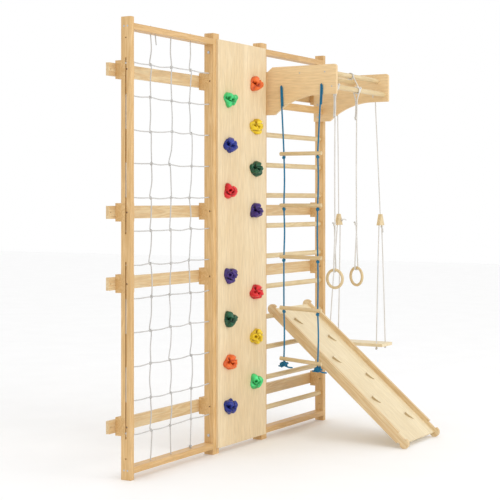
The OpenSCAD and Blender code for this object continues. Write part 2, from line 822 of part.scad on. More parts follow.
module side_outline() {
  difference() {
    union() {
      translate([0, -lobe_r]) square([slide_l, side_h]);
      circle(lobe_r);
      translate([slide_l, 0]) circle(lobe_r);
    }
    for (s = [slot_s, slide_l - slot_s]) {
      translate([s, -slot_t]) circle(slot_r);
      translate([s - slot_r, -slot_t - 20]) square([2 * slot_r, 20]);
    }
    translate([8, lobe_r - 10]) square([54, 12]);
    translate([slide_l - 62, lobe_r - 10]) square([54, 12]);
  }
}
module slide_side_left() {
  color(wood) placed() on_slope(slide_x, side_t) side_outline();
}
module slide_side_right() {
  color(wood) placed() on_slope(slide_x + slide_w - side_t, side_t) side_outline();
}
module slide_bed() {
  color(pale) placed() on_slope(slide_x + side_t, slide_w - 2 * side_t)
    translate([0, bed_top - bed_t]) square([slide_l, bed_t]);
}
module slide_battens() {
  color(wood) placed() on_slope(slide_x + side_t, slide_w - 2 * side_t)
    for (s = [250, 515, 780]) translate([s, bed_top - bed_t - 18]) square([34, 18]);
}

// half-round climbing grips standing on the bed
module slide_grips() {
  color(pale) placed()
    translate([0, slide_top[0], slide_top[1]]) rotate([slide_a, 0, 0])
      for (c = [0, 1])
        for (s = grip_s[c])
          translate([slide_x + grip_x[c], -s, bed_top]) rotate([0, 0, -45]) difference() {
            cylinder(h = grip_h, r = 32);
            translate([-40, -80, -1]) cube([80, 80, grip_h + 2]);
          }
}

net_post_left_upper();
net_post_left_lower();
net_post_right_upper();
net_post_right_lower();
board_posts_upper();
board_posts_lower();
bars_post_left_upper();
bars_post_left_lower();
bars_post_right_upper();
bars_post_right_lower();
net_bars();
board_bars();
ladder_bars();
rungs_upper();
rungs_lower();
wall_rail_bottom();
wall_rail_low_mid();
wall_rail_high_mid();
wall_rail_top();
spacer_blocks();
board_upper();
board_lower();
holds_light_green();
holds_blue();
holds_red();
holds_purple();
holds_dark_green();
holds_orange();
holds_yellow();
hold_bolts();
net_rows();
net_uprights();
net_knots();
plate_left();
plate_right();
overhead_dowels();
cross_bar();
ring_hangers();
rope_stops();
frame_bolts();
bar_screws();
post_pins();
ladder_rungs();
ladder_knots();
ladder_rope_rear();
ladder_rope_front();
swing_seat();
swing_adjusters();
swing_rope_rear();
swing_rope_front();
swing_knots();
ring_left();
ring_left_cord();
ring_right();
ring_right_cord();
slide_bed();
slide_side_left();
slide_side_right();
slide_grips();
slide_battens();
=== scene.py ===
import math
import random

import bmesh
import bpy
import numpy as np
from mathutils import Matrix, Vector, noise


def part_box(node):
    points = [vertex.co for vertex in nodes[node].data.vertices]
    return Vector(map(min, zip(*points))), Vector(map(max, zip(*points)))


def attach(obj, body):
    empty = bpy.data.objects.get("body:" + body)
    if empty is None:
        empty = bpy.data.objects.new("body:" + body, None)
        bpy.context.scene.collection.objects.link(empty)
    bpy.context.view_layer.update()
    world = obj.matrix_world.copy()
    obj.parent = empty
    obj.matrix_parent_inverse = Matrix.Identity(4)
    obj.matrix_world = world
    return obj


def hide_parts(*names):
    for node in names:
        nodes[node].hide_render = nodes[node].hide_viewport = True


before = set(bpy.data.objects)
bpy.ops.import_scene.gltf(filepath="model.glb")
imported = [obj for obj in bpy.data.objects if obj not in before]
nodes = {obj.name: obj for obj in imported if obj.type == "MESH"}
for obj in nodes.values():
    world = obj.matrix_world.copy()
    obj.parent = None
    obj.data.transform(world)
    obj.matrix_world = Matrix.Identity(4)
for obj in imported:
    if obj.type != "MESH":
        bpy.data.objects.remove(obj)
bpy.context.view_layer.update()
rng = random.Random(41)
print("frame loaded")

camera = {
    "at": (-6.0245, -3.2863, 1.3275), "along": (0.860, 0.5105, 0.0),
    "lens": 94.03, "sensor": 36, "shift": -0.0995, "far": 60,
}
camData = bpy.data.cameras.new("viewCamera")
camData.lens = camera["lens"]
camData.sensor_width = camera["sensor"]
camData.shift_y = camera["shift"]
camData.clip_end = camera["far"]
cam = bpy.data.objects.new("viewCamera", camData)
cam.location = camera["at"]
cam.rotation_euler = Vector(camera["along"]).to_track_quat("-Z", "Y").to_euler()
bpy.context.scene.collection.objects.link(cam)
bpy.context.scene.camera = cam
bpy.context.scene.view_settings.view_transform = "Standard"
print("camera placed")

# front plane of the posts, left ends of the panels, and half the height
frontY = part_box("net_bars")[0].y
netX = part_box("net_post_left_upper")[0].x
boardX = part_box("board_upper")[0].x
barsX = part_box("board_upper")[1].x
midZ = 1.1


def newMat(name):
    mat = bpy.data.materials.new(name)
    mat.use_nodes = True
    tree = mat.node_tree
    shader = tree.nodes["Principled BSDF"]
    return mat, tree, shader


def addNode(tree, kind, **values):
    node = tree.nodes.new(kind)
    for key, value in values.items():
        if key in node.inputs:
            node.inputs[key].default_value = value
        else:
            setattr(node, key, value)
    return node


def ramp(tree, source, stops):
    node = tree.nodes.new("ShaderNodeValToRGB")
    for k, (pos, col) in enumerate(stops):
        mark = node.color_ramp.elements[k] if k < 2 else node.color_ramp.elements.new(pos)
        mark.position = pos
        mark.color = (*col, 1) if len(col) == 3 else col
    tree.links.new(source, node.inputs["Fac"])
    return node.outputs["Color"]


def mixColor(tree, fac, a, b, blend="MIX"):
    node = tree.nodes.new("ShaderNodeMix")
    node.data_type = "RGBA"
    node.blend_type = blend
    for socket, value in ((node.inputs[0], fac), (node.inputs[6], a), (node.inputs[7], b)):
        if hasattr(value, "links"):
            tree.links.new(value, socket)
        elif isinstance(value, tuple):
            socket.default_value = (*value, 1)
        else:
            socket.default_value = value
    return node.outputs[2]


def grey(v):
    return (v, v, v)


grainLook = {
    "stretch": 0.07, "rings": 17.0, "bands": 9.0, "fibres": 240.0, "patches": 5.0, "knotCells": 5.5,
    "rough": (0.42, 0.6), "coat": 0.12, "coatRough": 0.35, "bump": 0.25, "bumpDepth": 0.0006,
}


# sawn softwood with the grain along one axis
def woodMat(name, grain, light, mid, dark, knots=0.6, turn=0.0, seed=0.0):
    mat, tree, shader = newMat(name)
    link = tree.links.new
    coord = addNode(tree, "ShaderNodeTexCoord")
    place = addNode(tree, "ShaderNodeMapping", vector_type="POINT")
    place.inputs["Location"].default_value = (seed, seed * 0.7, seed * 1.3)
    place.inputs["Rotation"].default_value = (turn, 0, 0)
    link(coord.outputs["Object"], place.inputs["Vector"])
    stretch = addNode(tree, "ShaderNodeMapping", vector_type="POINT")
    squeeze = tuple(grainLook["stretch"] if axis == grain else 1 for axis in "xyz")
    stretch.inputs["Scale"].default_value = squeeze
    link(place.outputs["Vector"], stretch.inputs["Vector"])
    rings = addNode(tree, "ShaderNodeTexNoise", Scale=grainLook["rings"], Detail=3.0, Roughness=0.5,
                    Distortion=0.4)
    link(stretch.outputs["Vector"], rings.inputs["Vector"])
    scaled = addNode(tree, "ShaderNodeMath", operation="MULTIPLY")
    scaled.inputs[1].default_value = grainLook["bands"]
    link(rings.outputs["Fac"], scaled.inputs[0])
    wave = addNode(tree, "ShaderNodeMath", operation="PINGPONG")
    wave.inputs[1].default_value = 0.5
    link(scaled.outputs[0], wave.inputs[0])
    fibre = addNode(tree, "ShaderNodeTexNoise", Scale=grainLook["fibres"], Detail=4.0, Roughness=0.6)
    link(stretch.outputs["Vector"], fibre.inputs["Vector"])
    broad = addNode(tree, "ShaderNodeTexNoise", Scale=grainLook["patches"], Detail=1.0)
    link(stretch.outputs["Vector"], broad.inputs["Vector"])
    base = ramp(tree, wave.outputs[0], [(0.0, light), (0.5, mid), (0.36, mid)])
    tone = ramp(tree, broad.outputs["Fac"], [(0.3, grey(0.0)), (0.72, grey(1.0))])
    toned = mixColor(tree, tone, base, mixColor(tree, 0.35, base, dark))
    fine = ramp(tree, fibre.outputs["Fac"], [(0.3, grey(0.86)), (0.7, grey(1.06))])
    colour = mixColor(tree, 1.0, toned, fine, "MULTIPLY")
    # knots: sparse cells, longer along the grain
    cellMap = addNode(tree, "ShaderNodeMapping", vector_type="POINT")
    cellMap.inputs["Scale"].default_value = tuple(0.35 if v < 1 else 1.0 for v in squeeze)
    link(place.outputs["Vector"], cellMap.inputs["Vector"])
    cells = addNode(tree, "ShaderNodeTexVoronoi", Scale=grainLook["knotCells"], feature="F1")
    link(cellMap.outputs["Vector"], cells.inputs["Vector"])
    spot = ramp(tree, cells.outputs["Distance"], [(0.03, grey(1.0)), (0.1, grey(0.0))])
    pick = ramp(tree, cells.outputs["Color"], [(0.62, grey(0.0)), (0.66, grey(1.0))])
    knotFac = mixColor(tree, 1.0, spot, pick, "MULTIPLY")
    knotFac = mixColor(tree, 1.0, knotFac, grey(knots), "MULTIPLY")
    colour = mixColor(tree, knotFac, colour, tuple(v * 0.42 for v in dark))
    link(colour, shader.inputs["Base Color"])
    rough = addNode(tree, "ShaderNodeMapRange")
    rough.inputs["To Min"].default_value = grainLook["rough"][0]
    rough.inputs["To Max"].default_value = grainLook["rough"][1]
    link(fibre.outputs["Fac"], rough.inputs["Value"])
    link(rough.outputs["Result"], shader.inputs["Roughness"])
    bump = addNode(tree, "ShaderNodeBump", Strength=grainLook["bump"], Distance=grainLook["bumpDepth"])
    link(fibre.outputs["Fac"], bump.inputs["Height"])
    link(bump.outputs["Normal"], shader.inputs["Normal"])
    shader.inputs["Coat Weight"].default_value = grainLook["coat"]
    shader.inputs["Coat Roughness"].default_value = grainLook["coatRough"]
    return mat


# rope fibres with some worn patches
def ropeMat(name, light, dark, sheen=0.25, scale=900.0):
    mat, tree, shader = newMat(name)
    link = tree.links.new
    coord = addNode(tree, "ShaderNodeTexCoord")
    fibre = addNode(tree, "ShaderNodeTexNoise", Scale=scale, Detail=3.0, Roughness=0.7)
    link(coord.outputs["Object"], fibre.inputs["Vector"])
    wear = addNode(tree, "ShaderNodeTexNoise", Scale=14.0, Detail=2.0)
    link(coord.outputs["Object"], wear.inputs["Vector"])
    thread = ramp(tree, fibre.outputs["Fac"], [(0.3, dark), (0.62, light)])
    worn = ramp(tree, wear.outputs["Fac"], [(0.35, grey(0.9)), (0.65, grey(1.0))])
    link(mixColor(tree, 1.0, thread, worn, "MULTIPLY"), shader.inputs["Base Color"])
    bump = addNode(tree, "ShaderNodeBump", Strength=0.5, Distance=0.0005)
    link(fibre.outputs["Fac"], bump.inputs["Height"])
    link(bump.outputs["Normal"], shader.inputs["Normal"])
    shader.inputs["Roughness"].default_value = 0.8
    shader.inputs["Sheen Weight"].default_value = sheen
    return mat


# crease: how dark the painted shade in the creases, pits and round the base is
resinLook = {
    "grit": 1100.0, "mottle": 28.0, "deep": 0.78, "crest": 1.15, "crease": 0.30,
    "rough": 0.34, "specular": 0.35, "coat": 0.2, "coatRough": 0.1,
}


# cast resin of a climbing hold: gritty, slightly mottled, with painted shade in the creases, the pits and
# round the base, taken from the mesh's colour layer
def resinMat(name, colour):
    mat, tree, shader = newMat(name)
    link = tree.links.new
    coord = addNode(tree, "ShaderNodeTexCoord")
    grit = addNode(tree, "ShaderNodeTexNoise", Scale=resinLook["grit"], Detail=2.0)
    cloud = addNode(tree, "ShaderNodeTexNoise", Scale=resinLook["mottle"], Detail=3.0)
    link(coord.outputs["Object"], grit.inputs["Vector"])
    link(coord.outputs["Object"], cloud.inputs["Vector"])
    deep = tuple(v * resinLook["deep"] for v in colour)
    lift = tuple(min(1.0, v * resinLook["crest"] + 0.015) for v in colour)
    shade = ramp(tree, cloud.outputs["Fac"], [(0.35, deep), (0.65, lift)])
    paintedShade = addNode(tree, "ShaderNodeAttribute", attribute_name="paintedShade")
    # painted shade: the colour is darkened toward this tone where the mesh's colour layer says so
    creaseShadeTone = tuple(resinLook["crease"] * v ** 1.5 for v in colour)
    link(mixColor(tree, paintedShade.outputs["Fac"], shade, creaseShadeTone), shader.inputs["Base Color"])
    bump = addNode(tree, "ShaderNodeBump", Strength=0.35, Distance=0.0006)
    link(grit.outputs["Fac"], bump.inputs["Height"])
    link(bump.outputs["Normal"], shader.inputs["Normal"])
    shader.inputs["Roughness"].default_value = resinLook["rough"]
    shader.inputs["Specular IOR Level"].default_value = resinLook["specular"]
    shader.inputs["Coat Weight"].default_value = resinLook["coat"]
    shader.inputs["Coat Roughness"].default_value = resinLook["coatRough"]
    return mat


# zinc-plated screws and bolts
def steelMat():
    mat, tree, shader = newMat("zincSteel")
    coord = addNode(tree, "ShaderNodeTexCoord")
    scratch = addNode(tree, "ShaderNodeTexNoise", Scale=420.0, Detail=3.0)
    tree.links.new(coord.outputs["Object"], scratch.inputs["Vector"])
    tint = ramp(tree, scratch.outputs["Fac"], [(0.3, (0.42, 0.42, 0.44)), (0.7, (0.62, 0.62, 0.63))])
    tree.links.new(tint, shader.inputs["Base Color"])
    shader.inputs["Metallic"].default_value = 1.0
    shader.inputs["Roughness"].default_value = 0.32
    return mat


pine = {"light": (0.79, 0.53, 0.25), "mid": (0.68, 0.425, 0.17), "dark": (0.44, 0.225, 0.065)}
palePine = {"light": (0.80, 0.63, 0.37), "mid": (0.71, 0.50, 0.26), "dark": (0.46, 0.27, 0.10)}
boardPly = {"light": (0.85, 0.69, 0.45), "mid": (0.78, 0.61, 0.37), "dark": (0.60, 0.41, 0.19)}
ply = {"light": (0.89, 0.77, 0.53), "mid": (0.82, 0.69, 0.45), "dark": (0.62, 0.46, 0.23)}
beech = {"light": (0.77, 0.62, 0.38), "mid": (0.69, 0.53, 0.28), "dark": (0.50, 0.32, 0.14)}
spruce = {"light": (0.88, 0.66, 0.38), "mid": (0.82, 0.60, 0.33), "dark": (0.66, 0.42, 0.17)}
pineX = woodMat("pineX", "x", **pine, seed=3.1)
palePineX = woodMat("palePineX", "x", **palePine, knots=0.8, seed=1.7)
pineZ = woodMat("pineZ", "z", **pine, seed=8.3)
plyY = woodMat("plyY", "y", **ply, knots=0.25, seed=4.4)
plateWood = woodMat("plateWood", "y", **spruce, knots=0.6, seed=4.4)
plyZ = woodMat("plyZ", "z", **boardPly, knots=0.3, seed=5.9)
beechX = woodMat("beechX", "x", **beech, knots=0.2, seed=6.5)
beechY = woodMat("beechY", "y", **beech, knots=0.2, seed=7.7)
beechZ = woodMat("beechZ", "z", **beech, knots=0.1, seed=9.1)
slope = math.radians(-40.22)  # of the slide
slopePly = woodMat("slopePly", "y", **ply, knots=0.25, turn=slope, seed=3.6)
gripWood = woodMat("gripWood", "y", **ply, knots=0.2, turn=slope, seed=1.2)
slopePine = woodMat("slopePine", "y", **palePine, knots=0.5, turn=slope, seed=0.9)
# the sides of the grips are painted browner than their tops, as painted shade
gripSideShade = (0.50, 0.38, 0.21)
tree = gripWood.node_tree
coord = addNode(tree, "ShaderNodeTexCoord")
facing = addNode(tree, "ShaderNodeVectorMath", operation="DOT_PRODUCT")
facing.inputs[1].default_value = (0, math.sin(slope), math.cos(slope))
tree.links.new(coord.outputs["Normal"], facing.inputs[0])
# painted shade: faces turned away from the bed's normal get the browner tone
sideShadeFac = ramp(tree, facing.outputs["Value"], [(0.2, grey(1.0)), (0.75, grey(0.0))])
shader = tree.nodes["Principled BSDF"]
plain = shader.inputs["Base Color"].links[0].from_socket
tree.links.new(mixColor(tree, sideShadeFac, plain, gripSideShade), shader.inputs["Base Color"])
netCord = ropeMat("netCord", (0.68, 0.67, 0.65), (0.42, 0.41, 0.40))
whiteRope = ropeMat("whiteRope", (0.84, 0.82, 0.78), (0.56, 0.54, 0.50))
blueRope = ropeMat("blueRope", (0.010, 0.22, 0.41), (0.003, 0.10, 0.20), sheen=0.04)
steel = steelMat()
print("materials made")


# one material for some CAD pieces, with their edges rounded by so much
def paint(names, mat, rounding=0.0016):
    for n in names:
        o = nodes[n]
        o.data.materials.clear()
        o.data.materials.append(mat)
        if rounding:
            flat = o.modifiers.new("flat", "DECIMATE")
            flat.decimate_type = "DISSOLVE"
            flat.angle_limit = math.radians(0.6)  # only faces that already lie in one plane
            edge = o.modifiers.new("edge", "BEVEL")
            edge.width = rounding
            edge.segments = 2
            edge.limit_method = "ANGLE"
            edge.angle_limit = math.radians(32)
            edge.use_clamp_overlap = True
            edge.harden_normals = True
        else:
            for f in o.data.polygons:
                f.use_smooth = True


posts = [n for n in nodes if "_post" in n and n != "post_pins"]
paint(posts + ["board_posts_upper", "board_posts_lower"], pineZ, 0.002)
paint(["net_bars", "board_bars", "ladder_bars", "spacer_blocks"], pineX)
paint(["wall_rail_bottom", "wall_rail_low_mid", "wall_rail_high_mid", "wall_rail_top"], palePineX, 0.002)
paint(["board_upper", "board_lower"], plyZ, 0.0012)
paint(["plate_left", "plate_right"], plateWood, 0.0015)
paint(["rungs_upper", "rungs_lower", "overhead_dowels"], beechX, 0)
paint(["cross_bar"], pineX)
paint(["ladder_rungs"], beechY, 0.0015)
paint(["swing_seat"], plyY, 0.003)
paint(["swing_adjusters"], beechZ, 0.0025)
paint(["ring_left", "ring_right"], beechZ, 0)
paint(["slide_bed"], slopePly, 0.001)
paint(["slide_side_left", "slide_side_right"], slopePine, 0.0025)
paint(["slide_battens"], pineX)

# climbing grips: half-moon blocks, higher at one end
grip = {
    "radius": 0.031, "high": 0.0145, "low": 0.004, "bulge": 0.16, "sides": 26, "lift": 0.0018,
    "diagonal": 0.7071,
    "columns": ((0.140, (0.126, 0.444, 0.762)), (0.312, (0.290, 0.605, 0.920))),
    "slideTop": (0.02243, 0.71197),
}
slopeUp = Vector((0, math.cos(slope), -math.sin(slope)))
slopeOut = Vector((0, math.sin(slope), math.cos(slope)))
gripVerts, gripFaces = [], []
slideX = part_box("slide_side_left")[0].x
slideTop = Vector((slideX, frontY + grip["slideTop"][0], grip["slideTop"][1]))
for side, column in grip["columns"]:
    for down in column:
        at = slideTop + Vector((side, 0, 0)) - slopeUp * down + slopeOut * grip["lift"]
        start = len(gripVerts)
        outline = []
        for k in range(grip["sides"]):  # the bulging side, away from the foot
            t = math.pi * k / (grip["sides"] - 1)
            outline.append((grip["radius"] * math.cos(t), grip["radius"] * math.sin(t)))
        for k in range(1, grip["sides"] - 1):  # the stepping edge, slightly curved
            t = -1 + 2 * k / (grip["sides"] - 1)
            outline.append((grip["radius"] * t, -grip["bulge"] * grip["radius"] * (1 - t * t)))
        for level in (0, 1):
            for u, v in outline:
                share = (1 + u / grip["radius"]) / 2
                rise = (grip["high"] + (grip["low"] - grip["high"]) * share ** 1.3) * level
                x = (u + v) * grip["diagonal"]
                y = (v - u) * grip["diagonal"]
                gripVerts.append(at + Vector((x, 0, 0)) + slopeUp * y + slopeOut * rise)
        count = len(outline)
        for k in range(count):
            n = (k + 1) % count
            gripFaces.append((start + k, start + n, start + count + n, start + count + k))
        gripFaces.append(tuple(start + count + k for k in range(count)))
        gripFaces.append(tuple(start + k for k in reversed(range(count))))
paint(["hold_bolts", "frame_bolts", "bar_screws", "post_pins"], steel, 0)
print("timber painted")


def addMesh(name, verts, faces, mat, body, smooth=True):
    mesh = bpy.data.meshes.new(name)
    mesh.from_pydata([tuple(v) for v in verts], [], faces)
    mesh.materials.append(mat)
    mesh.polygons.foreach_set("use_smooth", [smooth] * len(mesh.polygons))
    o = bpy.data.objects.new(name, mesh)
    bpy.context.scene.collection.objects.link(o)
    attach(o, body)
    return o


gripPiece = addMesh("slide_grips_carved", gripVerts, gripFaces, gripWood, "slide", False)
soften = gripPiece.modifiers.new("edge", "BEVEL")
soften.width = 0.0018
soften.segments = 3
soften.angle_limit = math.radians(40)
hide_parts("slide_grips")


# points every step along a smooth line through the given ones
def resample(points, step):
    p = [Vector(q) for q in points]
    p = [p[0] * 2 - p[1]] + p + [p[-1] * 2 - p[-2]]
    dense = []
    for k in range(1, len(p) - 2):
        count = max(4, int((p[k + 1] - p[k]).length / step))
        for i in range(count):
            t = i / count
            a, b, c, d = p[k - 1], p[k], p[k + 1], p[k + 2]
            m1 = (c - a) * 0.5
            m2 = (d - b) * 0.5
            size = (c - b).length
            m1 = m1 * min(1.0, size / max(m1.length, 1e-6))
            m2 = m2 * min(1.0, size / max(m2.length, 1e-6))
            t2, t3 = t * t, t * t * t
            ends = b * (2 * t3 - 3 * t2 + 1) + m1 * (t3 - 2 * t2 + t)
            dense.append(ends + c * (3 * t2 - 2 * t3) + m2 * (t3 - t2))
    dense.append(p[-2])
    out, left = [dense[0]], step
    for a, b in zip(dense, dense[1:]):
        size = (b - a).length
        while size >= left > 0:
            a = a + (b - a) * (left / size)
            out.append(a)
            size = (b - a).length
            left = step
        left -= size
    if (out[-1] - dense[-1]).length > step * 0.3:
        out.append(dense[-1])
    return out


def lengthOf(points):
    return sum((b - a).length for a, b in zip(points, points[1:]))


# vertices and faces of a three-strand laid rope along a line
def ropeParts(points, radius, pitch, sides=12, start=0, closed=False, lobe=0.2):
    verts, faces = [], []
    count = len(points)
    up = Vector((0.3, 0.8, 0.5)).normalized()
    run = 0.0
    for k, p in enumerate(points):
        if closed:
            d = (points[(k + 1) % count] - points[k - 1]).normalized()
        else:
            d = (points[min(k + 1, count - 1)] - points[max(k - 1, 0)]).normalized()
        up = (up - d * up.dot(d)).normalized()
        side = d.cross(up)
        if k:
            run += (p - points[k - 1]).length
        twist = 2 * math.pi * run / pitch
        for i in range(sides):
            a = 2 * math.pi * i / sides
            r = radius * (1 - lobe + lobe * abs(math.cos(1.5 * a)))
            a += twist
            verts.append(p + up * (r * math.cos(a)) + side * (r * math.sin(a)))
    for k in range(count if closed else count - 1):
        n = (k + 1) % count
        for i in range(sides):
            j = (i + 1) % sides
            here, there = start + k * sides, start + n * sides
            faces.append((here + i, here + j, there + j, there + i))
    if not closed:
        faces.append(tuple(start + i for i in reversed(range(sides))))
        faces.append(tuple(start + (count - 1) * sides + i for i in range(sides)))
    return verts, faces


def ropePiece(name, points, radius, pitch, mat, body):
    line = resample(points, pitch / 7)
    verts, faces = ropeParts(line, radius, pitch)
    return addMesh(name, verts, faces, mat, body), line


# the overhand knot's own line, about a centre
def knotLine(at, size, axis=(0, 0, 1), spin=0.0, count=46, squash=1.0):
    turn = Vector(axis).to_track_quat("Z", "Y").to_matrix() @ Matrix.Rotation(spin, 3, "Z")
    out = []
    for k in range(count):
        t = 2 * math.pi * k / count
        v = Vector((math.sin(t) + 2 * math.sin(2 * t), math.cos(t) - 2 * math.cos(2 * t),
                    -1.9 * math.sin(3 * t) * squash))
        out.append(Vector(at) + turn @ (v * (size / 3.0)))
    return out


class Bundle:  # rope parts gathered into one mesh
    def __init__(self):
        self.verts, self.faces = [], []

    def add(self, points, radius, pitch, sides=10, closed=False):
        v, f = ropeParts(points, radius, pitch, sides, len(self.verts), closed)
        self.verts += v
        self.faces += f

    def knot(self, at, size, radius, axis=(0, 0, 1), spin=0.0, squash=1.0):
        self.add(knotLine(at, size, axis, spin, squash=squash), radius, radius * 6, 8, True)

    def done(self, name, mat, body):
        return addMesh(name, self.verts, self.faces, mat, body)


# net: rows and uprights that wander a little from knot to knot
net = {
    "rows": 12, "columns": (1, 2, 3), "pitch": 0.162, "radius": 0.0032, "lay": 0.013, "step": 0.0022,
    "lace": 0.004, "knot": 0.0062, "depth": 0.0275, "post": 0.028, "top": 2.178, "foot": 0.045,
    "laceLeft": (1, 3, 7, 9), "laceRight": (0, 2, 4, 6, 8, 10),
}
netTop = midZ + 5.5 * net["pitch"]
netY = frontY + net["depth"]
inner = (netX + net["post"], boardX - net["post"])
gapX = (inner[1] - inner[0]) / 4
crossing = {}
for row in range(net["rows"]):
    for col in net["columns"]:
        sway = Vector((rng.uniform(-0.008, 0.008), rng.uniform(-0.004, 0.004), rng.uniform(-0.006, 0.004)))
        crossing[row, col] = Vector((inner[0] + col * gapX, netY, netTop - row * net["pitch"])) + sway
netRope = Bundle()


def netStrand(line):
    netRope.add(resample(line, net["step"]), net["radius"], net["lay"], 9)


for row in range(net["rows"]):
    z = netTop - row * net["pitch"]
    line = [Vector((netX + net["lace"], netY, z)), Vector((inner[0], netY, z))]
    for col in net["columns"]:
        a, b = line[-1], crossing[row, col]
        line.append((a + b) / 2 + Vector((0, rng.uniform(-0.002, 0.002), -rng.uniform(0.001, 0.006))))
        line.append(b)
    b = Vector((inner[1], netY, z))
    line.append((line[-1] + b) / 2 + Vector((0, 0, -rng.uniform(0.001, 0.005))))
    line += [b, Vector((boardX - net["lace"], netY, z))]
    netStrand(line)
for col in net["columns"]:
    x = inner[0] + col * gapX
    line = [Vector((x, netY, net["top"])), Vector((x, netY, 2.14))]
    for row in range(net["rows"]):
        c = crossing[row, col]
        jog = rng.choice((-1, 1)) * rng.uniform(0.003, 0.0075)
        a = line[-1]
        mid = (a + c) / 2 + Vector((rng.uniform(-0.006, 0.006), rng.uniform(-0.003, 0.003), 0))
        line += [mid, c + Vector((jog, 0.002, 0.008)), c + Vector((-jog * 0.6, -0.002, -0.008))]
    line += [Vector((x, netY, 0.06)), Vector((x, netY, net["foot"]))]
    netStrand(line)
for c in crossing.values():
    lean = (rng.uniform(-1, 1), -2, rng.uniform(-1, 1))
    netRope.knot(c, net["knot"], net["radius"], lean, rng.uniform(0, 6))
# lacing in the post grooves
for x, links in ((netX + net["lace"], net["laceLeft"]), (boardX - net["lace"], net["laceRight"])):
    for k in links:
        z = netTop - k * net["pitch"]
        netStrand([Vector((x, netY, z)), Vector((x, netY, z - net["pitch"]))])
# end knots and loose tails
for z in (netTop - 0.012, netTop - 11 * net["pitch"] + 0.012):
    netRope.knot((netX + net["lace"], netY, z), 0.0045, 0.0026, (1, 0, 0.2))
halfRow = netTop - 6 * net["pitch"]
netRope.knot((inner[0] + 0.009, netY, halfRow), 0.0062, net["radius"], (1, 0.3, 0), 1.1)
netRope.knot((inner[0] + 3 * gapX, netY, 0.072), 0.0068, net["radius"], (0.2, 0.1, 1), 0.4)
tailX = inner[0] + gapX + 0.04
tail = [Vector((tailX, netY, 2.176)), Vector((tailX, netY, 2.14)),
        Vector((tailX + 0.004, netY - 0.003, 2.088))]
netStrand(tail)
netPiece = netRope.done("climbing_net", netCord, "frame")
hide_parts("net_rows", "net_uprights", "net_knots")
print("net laced")

# rope ladder
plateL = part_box("plate_left")
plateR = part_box("plate_right")
ladder = {
    "radius": 0.0048, "lay": 0.017, "x": plateL[0].x - 0.0045, "top": (0.095, 0.345), "low": (0.114, 0.325),
    "hole": 0.107, "firstStep": 1.584, "stepDrop": 0.285, "tilt": (0, 0, 1, 2, 4), "step": 0.002,
    "bends": ((0.08, 0.05), (0.5, 0.19), (0.9, 0.335)), "drift": 0.0035,
    "endKnot": 0.0125, "stepKnot": 0.0066, "knotCord": 0.0045,
    "tails": ((-0.004, -0.056, -0.018), (0.004, 0.036, -0.014)),
}
steps = [ladder["firstStep"] - ladder["stepDrop"] * k for k in range(5)]
tilt = [math.radians(t) for t in ladder["tilt"]]
ropeHoleZ = plateL[1].z - ladder["hole"]
knots = Bundle()
for side in (0, 1):
    sign = 1 - 2 * side
    halfSpan = (ladder["low"][1] - ladder["low"][0]) / 2
    yTop = frontY - ladder["top"][side]
    yLow = frontY - ladder["low"][side]
    exitAt = Vector((ladder["x"], yTop, ropeHoleZ))
    line = [exitAt]
    for share, drop in ladder["bends"]:
        line.append(Vector((ladder["x"], yTop + (yLow - yTop) * share, ropeHoleZ - drop)))
    for k, z in enumerate(steps):
        z += sign * halfSpan * math.sin(tilt[k])
        line.append(Vector((ladder["x"], yLow, z)))
        if k < 4:
            drift = rng.uniform(-ladder["drift"], ladder["drift"])
            line.append(Vector((ladder["x"] + rng.uniform(-0.002, 0.002), yLow + drift, z - 0.145)))
        if k < 4:
            knots.knot((ladder["x"], yLow, z - 0.0205), ladder["stepKnot"], ladder["knotCord"],
                       (0.25, 0.1, 1), k + side, 1.1)
    low = Vector((ladder["x"], yLow, steps[4] + sign * halfSpan * math.sin(tilt[4]) - 0.028))
    line.append(low)
    for turn in range(3):
        at = low + Vector((0.004 * turn - 0.006, 0.012 * turn - 0.014, -0.003 * turn))
        knots.knot(at, ladder["endKnot"], 0.0046, (0.3 + turn, 1 - turn, 0.6), turn * 1.3 + side, 1.1)
    for away in ladder["tails"]:
        tail = [low + Vector((0, 0, -0.006)), low + Vector(away) * 0.5 + Vector((0, 0, -0.008)),
                low + Vector(away)]
        knots.add(resample(tail, ladder["step"]), ladder["knotCord"], ladder["lay"])
    # second part of the rope, doubled back below the hole
    doubled = [exitAt + Vector((-0.002, -0.0078, -0.004)), exitAt + Vector((0, -0.008, -0.03)),
               Vector((ladder["x"] - 0.001, yTop + (yLow - yTop) * 0.25 - 0.008, ropeHoleZ - 0.112))]
    knots.add(resample(doubled, ladder["step"]), 0.0038, ladder["lay"])
    name = "ladder_rope_rear_laid" if side == 0 else "ladder_rope_front_laid"
    rope, path = ropePiece(name, line, ladder["radius"], ladder["lay"], blueRope, "rope_ladder")
    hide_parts("ladder_rope_rear" if side == 0 else "ladder_rope_front")
    print(name, round(lengthOf(path), 3))
knotPiece = knots.done("ladder_knots_tied", blueRope, "rope_ladder")
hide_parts("ladder_knots")
print("rope ladder hung")

